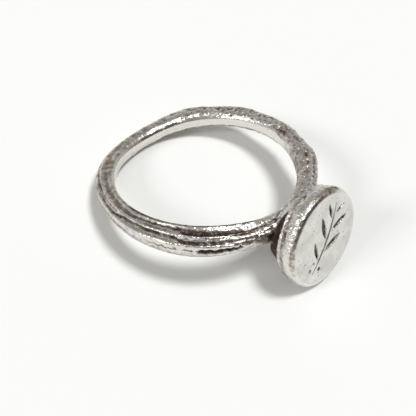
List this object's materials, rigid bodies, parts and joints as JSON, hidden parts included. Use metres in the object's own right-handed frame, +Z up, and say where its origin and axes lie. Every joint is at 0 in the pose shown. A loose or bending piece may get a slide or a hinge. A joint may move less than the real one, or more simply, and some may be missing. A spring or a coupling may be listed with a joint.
{
  "type": "seal ring",
  "caption": "Finger ring of cast silver: a rough twig-like band with grooves along it, and a thick round seal with a flat engraved face, tilted down a little at one side.",
  "frame": {"origin": "on the floor that the ring lies on, under the middle of its bounding box", "axes": "+Z up from the floor; +X from the band towards the seal, the ring's longest way; +Y to the left when looking along +X"},
  "size_m": [0.0246, 0.0212, 0.0094],
  "materials": {
    "silver": "satin"
  },
  "bodies": {
    "root": {"ring": "silver"}
  },
  "joints": []
}
